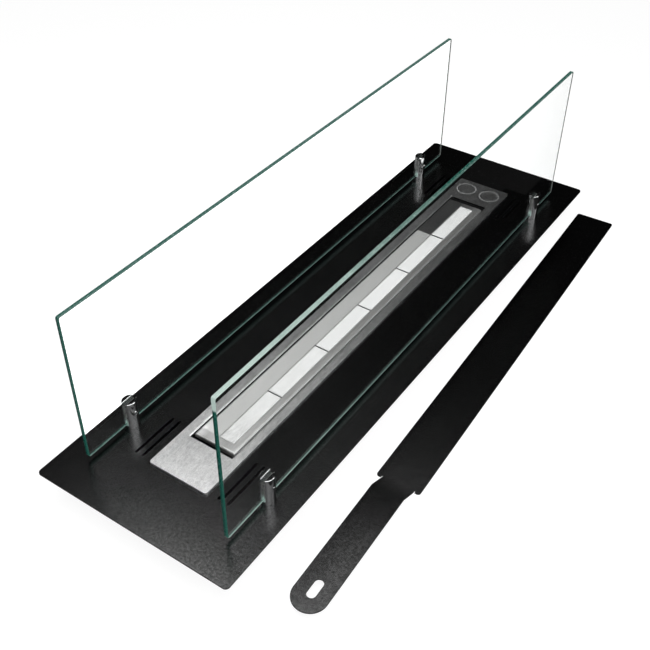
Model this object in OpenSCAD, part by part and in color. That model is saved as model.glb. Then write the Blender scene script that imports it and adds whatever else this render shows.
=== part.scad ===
// Drop-in bioethanol fireplace: a plate with a burner between two glass panes, and its snuffer lid.
// Millimetres, +Z up. The origin is the centre of the housing's bottom face, on the floor.
// The panes and the burner run along Y, and the snuffer lid lies on the floor at the +X side.

/* [Top plate] */
// Length of the top plate
plate_l = 1000; // [980:5:1200]
// Width of the top plate
plate_w = 300; // [280:5:400]
// Thickness of the top plate
plate_t = 2; // [1.5:0.5:4]
// Corner radius of the top plate
plate_r = 6; // [2:1:20]
// Width of a vent slot
vent_w = 3.8; // [2:0.2:6]
// Length of a vent slot
vent_l = 73; // [40:1:90]
// Distance between the two vent slots of a pair
vent_pitch = 11; // [7:0.5:12]
// Distance from the deck's edge to the first vent slot
vent_inset = 15.5; // [6:0.5:16]
// Distance from the burner's mouth to the vent slots' middle, along the plate
vent_past = 21.5; // [-10:0.5:24]

/* [Housing] */
// Height of the housing under the plate
housing_h = 48; // [40:1:120]
// Sheet thickness of the housing
housing_t = 1.5; // [1:0.25:2.5]
// Width of the plate's rim that rests on the surround, at each end
seat_w = 70; // [62:1:85]
// Width of the housing's top flange
flange_w = 12; // [11:0.5:14]
// Distance from the housing's end to the first stud
stud_end = 55; // [20:5:120]
// Length of a stud under the plate
stud_l = 9; // [7:0.5:14]

/* [Burner] */
// Distance from the plate's end to the burner's mouth
mouth_end = 152; // [142:1:220]
// Width of the burner's mouth
mouth_w = 63.4; // [56:0.2:70]
// Width of the deck's rim beside the mouth
deck_side = 14.3; // [8:0.1:16]
// Length of the deck's field at each end of the mouth
deck_end = 62; // [30:1:68]
// Thickness of the deck, and the radius of its rolled long lips
deck_t = 3; // [2:0.5:4]
// Corner radius of the deck
deck_r = 4; // [1:0.5:8]
// Sheet thickness of the overflow tank
overflow_t = 1.5; // [1:0.25:2.5]
// Clearance under the overflow tank
floor_gap = 2.5; // [1:0.5:8]
// Clearance between the overflow tank and the plate's cut-out
cutout_gap = 2; // [1:0.5:4]

/* [Fuel tank] */
// Finger gap between the slot cover's end and the mouth's end
finger_gap = 7.5; // [6:0.5:16]
// Gap between the slot cover's side and the mouth's side
cover_gap = 1; // [0.5:0.1:2]
// Sheet thickness of the slot cover
cover_t = 1; // [0.8:0.1:1.5]
// Outer bend radius of the slot cover
cover_r = 3.5; // [2.5:0.5:5]
// Height of the slot cover's skirt
cover_h = 10; // [7:0.5:20]
// Clearance between the slot cover's skirt and the fuel tank
cover_fit = 0.2; // [0.1:0.1:0.4]
// Sheet thickness of the fuel tank
tank_t = 1.2; // [0.8:0.1:2]
// Height of the strips that hold the fuel tank up
rest_h = 3; // [2:0.5:6]
// Distance from the slot cover's end to the burning slot
slot_end = 13.5; // [12:0.5:60]
// Width of the burning slot
slot_w = 23.5; // [14:0.5:30]
// How far the burning slot lies right of the middle
slot_x = 7.75; // [0:0.25:9]
// Number of wool bays
bays = 6; // [2:1:8]
// How far the end bays reach past the burning slot
bay_reach = 9; // [2:0.5:10]
// Thickness of a divider
divider_t = 1; // [0.8:0.1:2]
// Clearance round a wool block
wool_gap = 0.5; // [0.3:0.1:1]
// Height of the wool and the dividers above the slot cover
wool_proud = 0.5; // [0:0.1:2]

/* [Glass panes] */
// Distance from the plate's end to a pane's end
pane_end = 50; // [10:5:90]
// Height of a pane
pane_h = 225; // [120:5:400]
// Thickness of a pane
pane_t = 6; // [5:1:8]
// Corner radius of a pane
pane_r = 3; // [1:0.5:10]

/* [Clamp posts] */
// Diameter of a post
post_d = 22; // [20:0.5:28]
// Height of a post
post_h = 45; // [36:1:60]
// Thickness of metal under the pane's slot
post_floor = 7; // [6:0.5:10]
// Distance of a post's axis from the plate's long edge
post_inset = 40; // [34:1:44]
// Distance from a pane's end to a post's axis
post_end = 78; // [30:1:95]
// Thickness of a clear pad
pad_t = 2; // [1.5:0.25:2]
// Distance from a clear pad's top to the post's top
pad_recess = 4; // [1:0.5:8]
// Height of the set screw's axis above the plate
set_z = 27; // [22:1:30]

/* [Fixings] */
// Thread diameter of every screw and stud
thread_d = 5; // [4:0.5:5]
// Clearance hole diameter for the screws and studs
hole_d = 5.5; // [5.4:0.1:6]
// Width across the flats of a nut
nut_af = 8; // [7:0.5:9]
// Height of a nut
nut_h = 4; // [3:0.5:5]
// Diameter of a washer
washer_d = 12; // [10:0.5:13]
// Thickness of a washer
washer_t = 1; // [0.8:0.1:1.5]
// Diameter of a screw's head
head_d = 9; // [7:0.5:10]
// Height of a screw's head
head_h = 2.8; // [2.4:0.1:3]
// Width across the flats of a screw's socket
socket_af = 3; // [2:0.5:3]

/* [Snuffer lid] */
// Sheet thickness of the lid
lid_t = 2; // [1.5:0.25:3]
// How far the lid covers the mouth's rim at each side
lid_lap = 0.3; // [0.2:0.1:5]
// How far the lid covers the mouth's rim at each end
lid_end_lap = 16.6; // [4:0.2:25]
// Width of the lid's handle
handle_w = 46.5; // [30:0.5:54]
// Length of the handle's level part
handle_l = 203; // [120:1:260]
// Height of the handle's underside above the lid's underside
handle_rise = 13; // [8:0.5:30]
// Length of the handle's slope seen from above
handle_run = 27; // [20:0.5:50]
// Length of the hanging slot in the handle
hang_l = 28; // [14:1:40]
// Width of the hanging slot in the handle
hang_w = 12; // [6:0.5:20]
// Distance from the hanging slot's middle to the handle's end
hang_inset = 34; // [24:1:60]
// Clear distance from the plate's edge to the middle of the lid's near edge
lid_stand_off = 59; // [58:1:120]
// Place of the lid's near edge along the plate, from its middle
lid_y = -227.1; // [-260:0.1:-200]
// Angle that the lid is turned against the plate
lid_turn = 1.9; // [0:0.1:2]

/* [Hidden] */
$fn = 64;
cut = 1;
sides = [-1, 1];
thread_gap = 0.05;

mouth_l = plate_l - 2 * mouth_end;
vent_y = mouth_l / 2 + vent_past;
pane_l = plate_l - 2 * pane_end;
post_y = pane_l / 2 - post_end;

plate_z = housing_h;
plate_top = plate_z + plate_t;
deck_top = plate_top + deck_t;
deck_w = mouth_w + 2 * deck_side;
deck_l = mouth_l + 2 * deck_end;

overflow_w = mouth_w + 2 * deck_t;
overflow_l = mouth_l + 2 * deck_t;
overflow_z = housing_t + floor_gap;
overflow_floor = overflow_z + overflow_t;
cutout_w = overflow_w + 2 * cutout_gap;
cutout_l = overflow_l + 2 * cutout_gap;
cutout_r = 3;

cover_w = mouth_w - 2 * cover_gap;
cover_l = mouth_l - 2 * finger_gap;
cover_under = deck_top - cover_t;
bend_r = cover_r - cover_t;
bend_drop = bend_r - sqrt(pow(bend_r, 2) - pow(bend_r - cover_fit, 2));
tank_w = cover_w - 2 * (cover_t + cover_fit);
tank_l = cover_l - 2 * (cover_t + cover_fit);
tank_z = overflow_floor + rest_h;
tank_top = cover_under - bend_drop - cover_fit;
tank_floor = tank_z + tank_t;
tank_in_w = tank_w - 2 * tank_t;
tank_in_l = tank_l - 2 * tank_t;
tank_r = 3;
slot_l = cover_l - 2 * slot_end;
divider_pitch = (slot_l + 2 * bay_reach) / bays;
rest_w = 12;
rest_l = 50;
rest_y = 200;
wool_top = deck_top + wool_proud;
wool_shoulder = cover_under - wool_gap;
notch_w = 12;
notch_h = 6;
notch_x = 16;

post_x = plate_w / 2 - post_inset;
pane_slot_w = pane_t + 2 * pad_t;
pane_z = plate_top + post_floor + pad_t;
pad_h = post_h - post_floor - pad_recess;
pad_trim = 0.5;
set_proud = 0.8;
set_cup = 2.5;
screw_end_gap = 1.5;
screw_reach = post_floor - screw_end_gap;
socket_depth = 1.6;

washer_clear = 2;
flange_edge = post_x - washer_d / 2 - washer_clear;
housing_w = 2 * (flange_edge - flange_w);
housing_l = plate_l - 2 * seat_w;
flange_z = plate_z - housing_t;
stud_x = flange_edge - flange_w / 2;
stud_rows = 4;
stud_pitch = (housing_l - 2 * stud_end) / (stud_rows - 1);

lid_w = mouth_w + 2 * lid_lap;
lid_l = mouth_l + 2 * lid_end_lap;
lid_r = 4;
lid_x = plate_w / 2 + lid_stand_off;
fold_angle = atan(handle_rise / handle_run);
fold_shift = lid_t * tan(fold_angle / 2);
relief_w = 1.5;
relief_l = 3;

// Each post's name, its side (-1 is left) and its end (-1 is near)
POSTS = [["near_left", -1, -1], ["near_right", 1, -1], ["far_left", -1, 1], ["far_right", 1, 1]];

// Flat outline with round corners, centred
module round_rect(x, y, r) {
  square([x - 2 * r, y], center = true);
  square([x, y - 2 * r], center = true);
  for (i = sides, j = sides)
    translate([i * (x / 2 - r), j * (y / 2 - r)])
      circle(r = r);
}

// Flat slot with round ends along Y, centred
module round_slot(w, l) {
  square([w, l - w], center = true);
  for (j = sides)
    translate([0, j * (l - w) / 2])
      circle(d = w);
}

// Plate of a flat outline, standing on z
module plate_at(z, t) {
  translate([0, 0, z])
    linear_extrude(t)
      children();
}

// Box centred in X and Y, standing on z
module box_at(x, y, z, h) {
  translate([-x / 2, -y / 2, z])
    cube([x, y, h]);
}

// Outline of a downturned pan seen along its length: round top corners, top at zero
module pan_outline(w, h, r) {
  translate([-w / 2, -h])
    square([w, h - r]);
  translate([r - w / 2, -h])
    square([w - 2 * r, h]);
  for (i = sides)
    translate([i * (w / 2 - r), -r])
      circle(r = r);
}

// Solid with the pan's outline in both directions, its top at z
module pan_solid(x, y, h, r, z) {
  translate([0, 0, z])
    intersection() {
      translate([0, y / 2 + cut, 0])
        rotate([90, 0, 0])
          linear_extrude(y + 2 * cut)
            pan_outline(x, h, r);
      translate([-x / 2 - cut, 0, 0])
        rotate([90, 0, 90])
          linear_extrude(x + 2 * cut)
            pan_outline(y, h, r);
    }
}

// Open tank of folded sheet with round upright corners
module tank(x, y, z, top, t, r) {
  difference() {
    plate_at(z, top - z)
      round_rect(x, y, r);
    plate_at(z + t, top - z)
      round_rect(x - 2 * t, y - 2 * t, r - t);
  }
}

// Places its children at the four posts' axes
module at_posts() {
  for (i = sides, j = sides)
    translate([i * post_x, j * post_y, 0])
      children();
}

// Places its children at the studs
module at_studs() {
  for (i = sides, j = [0 : stud_rows - 1])
    translate([i * stud_x, (j - (stud_rows - 1) / 2) * stud_pitch, 0])
      children();
}

module top_plate() {
  color("#1c1c1d")
    plate_at(plate_z, plate_t)
      difference() {
        round_rect(plate_w, plate_l, plate_r);
        round_rect(cutout_w, cutout_l, cutout_r);
        for (i = sides, j = sides, k = [0, 1])
          translate([i * (deck_w / 2 + vent_inset + k * vent_pitch), j * vent_y])
            round_slot(vent_w, vent_l);
        at_posts()
          circle(d = hole_d);
      }
}

module housing() {
  color("#2a2a2b")
    difference() {
      union() {
        box_at(housing_w, housing_l, 0, plate_z);
        box_at(housing_w + 2 * flange_w, housing_l + 2 * flange_w, flange_z, housing_t);
      }
      box_at(housing_w - 2 * housing_t, housing_l - 2 * housing_t, housing_t, plate_z);
      at_studs()
        translate([0, 0, flange_z - cut])
          cylinder(d = hole_d, h = housing_t + 2 * cut);
    }
}

module housing_studs() {
  color("#b9bcbf")
    at_studs()
      translate([0, 0, plate_z - stud_l])
        cylinder(d = thread_d, h = stud_l);
}

module housing_nuts() {
  color("#b9bcbf")
    at_studs()
      translate([0, 0, flange_z - nut_h])
        difference() {
          cylinder(d = nut_af / cos(30), h = nut_h, $fn = 6);
          translate([0, 0, -cut])
            cylinder(d = thread_d + 2 * thread_gap, h = nut_h + 2 * cut);
        }
}

// Bar that rounds a long edge of the mouth, with its round side about the origin
module lip_cutter() {
  translate([0, mouth_l / 2, 0])
    rotate([90, 0, 0])
      linear_extrude(mouth_l)
        difference() {
          translate([-deck_t - cut, 0])
            square(deck_t + cut);
          circle(r = deck_t);
        }
}

module burner_deck() {
  color("#b4b4b2")
    difference() {
      plate_at(plate_top, deck_t)
        difference() {
          round_rect(deck_w, deck_l, deck_r);
          square([mouth_w, mouth_l], center = true);
        }
      for (turn = [0, 180])
        rotate([0, 0, turn])
          translate([overflow_w / 2, 0, plate_top])
            lip_cutter();
    }
}

module overflow_tank() {
  color("#8f9092")
    tank(overflow_w, overflow_l, overflow_z, plate_top, overflow_t, cutout_r);
}

module tank_rests() {
  color("#8f9092")
    for (j = sides)
      translate([0, j * rest_y, 0])
        box_at(rest_l, rest_w, overflow_floor, rest_h);
}

module fuel_tank() {
  color("#9c9da0")
    tank(tank_w, tank_l, tank_z, tank_top, tank_t, tank_r);
}

module slot_cover() {
  color("#c2c2c0")
    difference() {
      pan_solid(cover_w, cover_l, cover_h, cover_r, deck_top);
      pan_solid(cover_w - 2 * cover_t, cover_l - 2 * cover_t, cover_h, bend_r, cover_under);
      translate([slot_x, 0, 0])
        box_at(slot_w, slot_l, cover_under - cut, cover_t + 2 * cut);
    }
}

// Divider number n, counted from the near end
module divider(n) {
  color("#808184")
    translate([0, (n - bays / 2) * divider_pitch, 0])
      difference() {
        union() {
          box_at(tank_in_w - 2 * wool_gap, divider_t, tank_floor, wool_shoulder - tank_floor);
          translate([slot_x, 0, 0])
            box_at(slot_w - 2 * wool_gap, divider_t, tank_floor, wool_top - tank_floor);
        }
        for (i = sides)
          translate([i * notch_x, 0, 0])
            box_at(notch_w, divider_t + 2 * cut, tank_floor - cut, notch_h + cut);
      }
}

// Wool block number n, counted from the near end
module wool_block(n) {
  low = n == 1 ? -tank_in_l / 2 : (n - 1 - bays / 2) * divider_pitch + divider_t / 2;
  high = n == bays ? tank_in_l / 2 : (n - bays / 2) * divider_pitch - divider_t / 2;
  neck_low = max(low, -slot_l / 2) + wool_gap;
  neck_high = min(high, slot_l / 2) - wool_gap;
  neck_w = slot_w - 2 * wool_gap;
  body_w = tank_in_w - 2 * wool_gap;
  color("#f2f1ed")
    union() {
      translate([-body_w / 2, low + wool_gap, tank_floor])
        cube([body_w, high - low - 2 * wool_gap, wool_shoulder - tank_floor]);
      translate([slot_x - neck_w / 2, neck_low, tank_floor])
        cube([neck_w, neck_high - neck_low, wool_top - tank_floor]);
    }
}

// Pane at one side: -1 is the left one
module glass_pane(side) {
  color("#cfe9e3", 0.35)
    translate([side * post_x - pane_t / 2, 0, pane_z + pane_h / 2])
      rotate([90, 0, 90])
        linear_extrude(pane_t)
          round_rect(pane_l, pane_h, pane_r);
}

module glass_pads() {
  color("#e9f0ee", 0.5)
    at_posts()
      translate([0, 0, plate_top + post_floor])
        difference() {
          intersection() {
            cylinder(d = post_d - 2 * pad_trim, h = pad_h);
            box_at(pane_slot_w, post_d, 0, pad_h);
          }
          box_at(pane_t, post_d + 2 * cut, pad_t, pad_h);
        }
}

// Post at one corner: -1 is left, and near
module clamp_post(side, end) {
  color("#c9cbcd")
    translate([side * post_x, end * post_y, plate_top])
      difference() {
        cylinder(d = post_d, h = post_h);
        box_at(pane_slot_w, post_d + 2 * cut, post_floor, post_h);
        translate([0, 0, -cut])
          cylinder(d = thread_d + 2 * thread_gap, h = post_floor + 2 * cut);
        translate([0, 0, set_z])
          rotate([0, 90, 0])
            cylinder(d = thread_d + 2 * thread_gap, h = post_d);
      }
}

module set_screws() {
  reach = (post_d - pane_slot_w) / 2 + set_proud;
  color("#dcdee0")
    at_posts()
      translate([pane_slot_w / 2, 0, plate_top + set_z])
        rotate([0, 90, 0])
          difference() {
            cylinder(d = thread_d, h = reach);
            translate([0, 0, reach - set_cup])
              cylinder(d = socket_af / cos(30), h = set_cup + cut, $fn = 6);
          }
}

module post_screws() {
  color("#b9bcbf")
    at_posts()
      translate([0, 0, plate_z - washer_t - head_h])
        difference() {
          union() {
            cylinder(d = head_d, h = head_h);
            cylinder(d = thread_d, h = head_h + washer_t + plate_t + screw_reach);
          }
          translate([0, 0, -cut])
            cylinder(d = socket_af / cos(30), h = socket_depth + cut, $fn = 6);
        }
}

module post_washers() {
  color("#b9bcbf")
    at_posts()
      translate([0, 0, plate_z - washer_t])
        difference() {
          cylinder(d = washer_d, h = washer_t);
          translate([0, 0, -cut])
            cylinder(d = hole_d, h = washer_t + 2 * cut);
        }
}

// The folded handle strip, from under the lid's near edge to the start of the round end
module handle_strip() {
  straight = handle_l - handle_w / 2;
  under = [[relief_l, 0], [0, 0], [-handle_run, handle_rise], [-handle_run - straight, handle_rise]];
  over = [
    [-handle_run - straight, handle_rise + lid_t],
    [-handle_run + fold_shift, handle_rise + lid_t],
    [fold_shift, lid_t],
    [relief_l, lid_t]
  ];
  translate([-handle_w / 2, 0, 0])
    rotate([90, 0, 90])
      linear_extrude(handle_w)
        polygon(concat(under, over));
}

module snuffer_lid() {
  end_y = -handle_run - handle_l + handle_w / 2;
  color("#232324")
    translate([lid_x, lid_y, 0])
      rotate([0, 0, lid_turn])
        difference() {
          union() {
            plate_at(0, lid_t)
              difference() {
                translate([0, lid_l / 2])
                  round_rect(lid_w, lid_l, lid_r);
                for (i = sides)
                  translate([i * (handle_w + relief_w) / 2, 0])
                    square([relief_w, 2 * relief_l], center = true);
              }
            handle_strip();
            translate([0, end_y, handle_rise])
              cylinder(d = handle_w, h = lid_t);
          }
          translate([0, hang_inset - handle_run - handle_l, handle_rise - cut])
            linear_extrude(lid_t + 2 * cut)
              round_slot(hang_w, hang_l);
        }
}

top_plate();
housing();
housing_studs();
housing_nuts();
burner_deck();
overflow_tank();
tank_rests();
fuel_tank();
slot_cover();
for (n = [1 : bays - 1])
  divider(n);
for (n = [1 : bays])
  wool_block(n);
glass_pane(-1);  // glass_left
glass_pane(1);  // glass_right
glass_pads();
for (p = POSTS)
  clamp_post(p[1], p[2]);
set_screws();
post_screws();
post_washers();
snuffer_lid();
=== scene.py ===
import math

import bmesh
import bpy
from mathutils import Matrix, Vector, noise

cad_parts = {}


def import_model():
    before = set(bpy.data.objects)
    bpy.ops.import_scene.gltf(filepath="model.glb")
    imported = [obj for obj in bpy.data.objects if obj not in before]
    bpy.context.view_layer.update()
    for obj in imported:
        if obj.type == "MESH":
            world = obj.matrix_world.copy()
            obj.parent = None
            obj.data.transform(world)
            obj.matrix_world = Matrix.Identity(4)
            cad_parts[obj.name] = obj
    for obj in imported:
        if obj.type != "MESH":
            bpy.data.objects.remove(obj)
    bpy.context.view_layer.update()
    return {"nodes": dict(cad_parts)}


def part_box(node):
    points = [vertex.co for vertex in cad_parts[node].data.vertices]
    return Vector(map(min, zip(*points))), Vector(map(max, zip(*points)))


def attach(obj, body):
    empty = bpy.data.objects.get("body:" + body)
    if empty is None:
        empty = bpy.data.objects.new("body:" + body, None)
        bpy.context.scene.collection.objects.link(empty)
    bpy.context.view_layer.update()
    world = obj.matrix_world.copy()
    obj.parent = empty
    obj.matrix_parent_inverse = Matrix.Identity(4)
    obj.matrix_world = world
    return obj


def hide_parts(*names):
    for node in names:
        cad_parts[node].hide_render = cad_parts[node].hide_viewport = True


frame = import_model()
nodes = frame["nodes"]


# camera, solved from the straight edges in the photo
cameraSetup = {
    "place": (0.5767, -0.9444, 0.948), "azimuth": 33.93, "elevation": 40.24, "roll": 0.479,
    "lens": 52.449, "sensor": 36, "clip": (0.05, 60),
}


def makeCamera(setup):
    azimuth, elevation, roll = (math.radians(setup[k]) for k in ("azimuth", "elevation", "roll"))
    level = math.cos(elevation)
    back = Vector((math.sin(azimuth) * level, -math.cos(azimuth) * level, math.sin(elevation)))
    right = Vector((math.cos(azimuth), math.sin(azimuth), 0))
    up = back.cross(right)
    side = right * math.cos(roll) + up * math.sin(roll)
    top = up * math.cos(roll) - right * math.sin(roll)
    camera = bpy.data.objects.new("camera", bpy.data.cameras.new("camera"))
    bpy.context.scene.collection.objects.link(camera)
    turn = Matrix((side, top, back)).transposed().to_4x4()
    camera.matrix_world = Matrix.Translation(setup["place"]) @ turn
    camera.data.sensor_width = setup["sensor"]
    camera.data.lens = setup["lens"]
    camera.data.clip_start, camera.data.clip_end = setup["clip"]
    bpy.context.scene.camera = camera


makeCamera(cameraSetup)
print("camera placed")


# node helpers
def addNode(tree, kind, sockets=None, **settings):
    node = tree.nodes.new(kind)
    for name, value in settings.items():
        setattr(node, name, value)
    for name, value in (sockets or {}).items():
        if isinstance(value, bpy.types.NodeSocket):
            tree.links.new(value, node.inputs[name])
        else:
            node.inputs[name].default_value = value
    return node


def maths(tree, operation, first, second=0.0):
    return addNode(tree, "ShaderNodeMath", {0: first, 1: second}, operation=operation).outputs[0]


def times(tree, first, *others):
    for other in others:
        first = maths(tree, "MULTIPLY", first, other)
    return first


def plus(tree, first, *others):
    for other in others:
        first = maths(tree, "ADD", first, other)
    return first


def minus(tree, first, second):
    return maths(tree, "SUBTRACT", first, second)


def opaque(colour):  # sockets pass as they are
    return (*colour, 1) if isinstance(colour, tuple) else colour


def mixColour(tree, share, first, second):
    sockets = {0: share, 6: opaque(first), 7: opaque(second)}
    return addNode(tree, "ShaderNodeMix", sockets, data_type="RGBA").outputs[2]


def mixValue(tree, share, first, second):
    return addNode(tree, "ShaderNodeMix", {0: share, 2: first, 3: second}).outputs[0]


def mapRange(tree, value, low, high, outLow=0.0, outHigh=1.0, smooth=False):
    kind = "SMOOTHSTEP" if smooth else "LINEAR"
    sockets = {"Value": value, 1: low, 2: high, 3: outLow, 4: outHigh}
    return addNode(tree, "ShaderNodeMapRange", sockets, interpolation_type=kind).outputs[0]


def falling(tree, value, low, high, smooth=False):  # 1 below low, 0 above high
    return mapRange(tree, value, low, high, 1.0, 0.0, smooth)


def past(tree, value, edge, soft):  # 1 past the edge
    return mapRange(tree, value, edge - soft, edge + soft)


def before(tree, value, edge, soft):  # 1 before the edge
    return falling(tree, value, edge - soft, edge + soft)


def objectPoint(tree):
    return addNode(tree, "ShaderNodeTexCoord").outputs["Object"]


def axes(tree):
    return addNode(tree, "ShaderNodeSeparateXYZ", {0: objectPoint(tree)}).outputs


def scaled(tree, point, scale):
    return addNode(tree, "ShaderNodeVectorMath", {0: point, 1: scale}, operation="MULTIPLY").outputs[0]


def distance(tree, x, y, centre, squeeze=1.0):  # in plan, with y squeezed
    dx, dy = minus(tree, x, centre[0]), minus(tree, y, centre[1])
    return maths(tree, "SQRT", plus(tree, times(tree, dx, dx), times(tree, dy, dy, squeeze)))


def noiseValue(tree, point, scale, detail=2.0, rough=0.5, twist=0.0):
    sockets = {"Vector": point, "Scale": scale, "Detail": detail, "Roughness": rough, "Distortion": twist}
    return addNode(tree, "ShaderNodeTexNoise", sockets).outputs["Fac"]


def stretchedNoise(tree, scale, detail=2.0, rough=0.5, twist=0.0):  # a scale for each axis
    return noiseValue(tree, scaled(tree, objectPoint(tree), scale), 1.0, detail, rough, twist)


def makeGroup(name, inputs, outputs):
    group = bpy.data.node_groups.new(name, "ShaderNodeTree")
    for socket, value in inputs.items():
        made = group.interface.new_socket(socket, in_out="INPUT", socket_type="NodeSocketFloat")
        made.default_value = value
    for socket in outputs:
        group.interface.new_socket(socket, in_out="OUTPUT", socket_type="NodeSocketFloat")
    return group, group.nodes.new("NodeGroupInput").outputs, group.nodes.new("NodeGroupOutput").inputs


def useGroup(tree, group, **values):
    return addNode(tree, "ShaderNodeGroup", values, node_tree=group).outputs


# shared effects
effects = {
    "coatGrain": {"Fine": 1500.0, "Broad": 420.0, "BroadShare": 0.4},
    "brushing": {"Across": 2600.0, "Along": 26.0},
    "clouding": {"Scale": 18.0, "Low": 0.35, "High": 0.65},
    "weave": {"Pitch": 0.0016, "Wire": 0.42},
    "fibres": {"Fine": 1800.0, "Stretch": 0.07},
}
effectLooks = {
    "coatShade": (0.36, 0.64), "brushShade": (0.34, 0.66), "brushCoarse": 0.22, "brushCoarseShare": 0.45,
    "wireRound": 0.12, "fibreTurns": (0.35, -0.75, 1.4), "fibreTwist": 0.6, "fibreShade": (0.45, 0.72),
}


def makeCoatGrain():  # the fine orange peel and speckle of powder coat
    group, given, out = makeGroup("coatGrain", effects["coatGrain"], ("Height", "Shade"))
    point = objectPoint(group)
    fine = noiseValue(group, point, given["Fine"], 2.0, 0.6)
    broad = noiseValue(group, point, given["Broad"], 3.0, 0.65)
    height = mixValue(group, given["BroadShare"], fine, broad)
    group.links.new(height, out["Height"])
    group.links.new(mapRange(group, height, *effectLooks["coatShade"]), out["Shade"])
    return group


def makeBrushing():  # fine lines along Y
    group, given, out = makeGroup("brushing", effects["brushing"], ("Height", "Streak"))
    across = given["Across"]
    scale = addNode(group, "ShaderNodeCombineXYZ", {0: across, 1: given["Along"], 2: across}).outputs[0]
    point = scaled(group, objectPoint(group), scale)
    fine = noiseValue(group, point, 1.0, 2.0, 0.6)
    coarse = noiseValue(group, point, effectLooks["brushCoarse"], 3.0, 0.6)
    height = mixValue(group, effectLooks["brushCoarseShare"], fine, coarse)
    group.links.new(height, out["Height"])
    group.links.new(mapRange(group, height, *effectLooks["brushShade"]), out["Streak"])
    return group


def makeClouding():  # slow change of shine from handling and rolling
    group, given, out = makeGroup("clouding", effects["clouding"], ("Mask",))
    cloud = noiseValue(group, objectPoint(group), given["Scale"], 4.0, 0.55)
    group.links.new(mapRange(group, cloud, given["Low"], given["High"]), out["Mask"])
    return group


def makeWeave():  # woven wire as seen from above
    group, given, out = makeGroup("weave", effects["weave"], ("Height", "Hole"))
    steps = [maths(group, "DIVIDE", axis, given["Pitch"]) for axis in axes(group)[:2]]
    middles = [maths(group, "PINGPONG", step, 0.5) for step in steps]
    near = maths(group, "MINIMUM", *middles)
    wire = times(group, given["Wire"], 0.5)
    hole = mapRange(group, near, wire, plus(group, wire, effectLooks["wireRound"]), smooth=True)
    group.links.new(hole, out["Hole"])
    group.links.new(minus(group, 1.0, hole), out["Height"])
    return group


def makeFibres():  # tangled lines in three directions
    group, given, out = makeGroup("fibres", effects["fibres"], ("Height", "Shade"))
    fine, along = given["Fine"], times(group, given["Fine"], given["Stretch"])
    scale = addNode(group, "ShaderNodeCombineXYZ", {0: fine, 1: along, 2: fine}).outputs[0]
    height = None
    for turn in effectLooks["fibreTurns"]:
        sockets = {"Vector": objectPoint(group), "Angle": turn}
        turned = addNode(group, "ShaderNodeVectorRotate", sockets, rotation_type="Z_AXIS").outputs[0]
        line = noiseValue(group, scaled(group, turned, scale), 1.0, 2.0, 0.5, effectLooks["fibreTwist"])
        height = line if height is None else maths(group, "MAXIMUM", height, line)
    group.links.new(height, out["Height"])
    group.links.new(mapRange(group, height, *effectLooks["fibreShade"]), out["Shade"])
    return group


coatGrain = makeCoatGrain()
brushing = makeBrushing()
clouding = makeClouding()
weave = makeWeave()
fibres = makeFibres()


# materials
def newMaterial(name, **values):
    material = bpy.data.materials.new(name)
    material.use_nodes = True
    tree = material.node_tree
    shader = tree.nodes["Principled BSDF"]
    for socket, value in values.items():
        shader.inputs[socket.replace("_", " ")].default_value = value
    return material, tree, shader


def feed(tree, shader, **values):
    for socket, value in values.items():
        tree.links.new(value, shader.inputs[socket.replace("_", " ")])


def fedBy(shader, socket):
    return shader.inputs[socket].links[0].from_socket


def bump(tree, shader, height, depth):
    feed(tree, shader, Normal=addNode(tree, "ShaderNodeBump", {"Height": height, "Distance": depth}).outputs[0])


coatShared = {"ior": 1.5, "topIor": 1.56, "spots": 300.0, "spotSpread": (0.38, 0.62), "topWeight": (0.1, 1.0)}
coatLooks = {
    "plateCoat": {
        "fine": 1300.0, "broad": 330.0, "broadShare": 0.9, "cloudScale": 14.0, "rough": (0.21, 0.24),
        "dark": (0.0, 0.0, 0.0), "light": (0.0016, 0.0016, 0.0017), "depth": 0.0002,
    },
    "housingPaint": {
        "fine": 900.0, "broad": 200.0, "broadShare": 0.5, "cloudScale": 9.0, "rough": (0.45, 0.55),
        "dark": (0.008, 0.008, 0.0085), "light": (0.02, 0.02, 0.021), "depth": 0.00004,
    },
    "lidCoat": {
        "fine": 1400.0, "broad": 350.0, "broadShare": 0.9, "cloudScale": 12.0, "rough": (0.22, 0.25),
        "dark": (0.0, 0.0, 0.0), "light": (0.0014, 0.0014, 0.0015), "depth": 0.0002,
    },
}


def makeCoat(name, look):  # powder coat or paint on steel
    iors = {"IOR": coatShared["ior"], "Coat_IOR": coatShared["topIor"]}
    material, tree, shader = newMaterial(name, Coat_Roughness=look["rough"][0], **iors)
    grain = useGroup(tree, coatGrain, Fine=look["fine"], Broad=look["broad"], BroadShare=look["broadShare"])
    cloud = useGroup(tree, clouding, Scale=look["cloudScale"])["Mask"]
    spots = noiseValue(tree, objectPoint(tree), coatShared["spots"], 2.0, 0.7)
    feed(
        tree, shader, Base_Color=mixColour(tree, grain["Shade"], look["dark"], look["light"]),
        Roughness=mapRange(tree, cloud, 0.0, 1.0, *look["rough"]),
        Coat_Weight=mapRange(tree, spots, *coatShared["spotSpread"], *coatShared["topWeight"]),
    )
    bump(tree, shader, grain["Height"], look["depth"])
    return material


# painted shade: colour and roughness that darken mouths and tank ends as if they lay in shade
recessShadeLook = {"fade": 0.0002, "rimFade": 0.0006, "colour": (0.02, 0.02, 0.02), "rough": 0.3}


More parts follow.
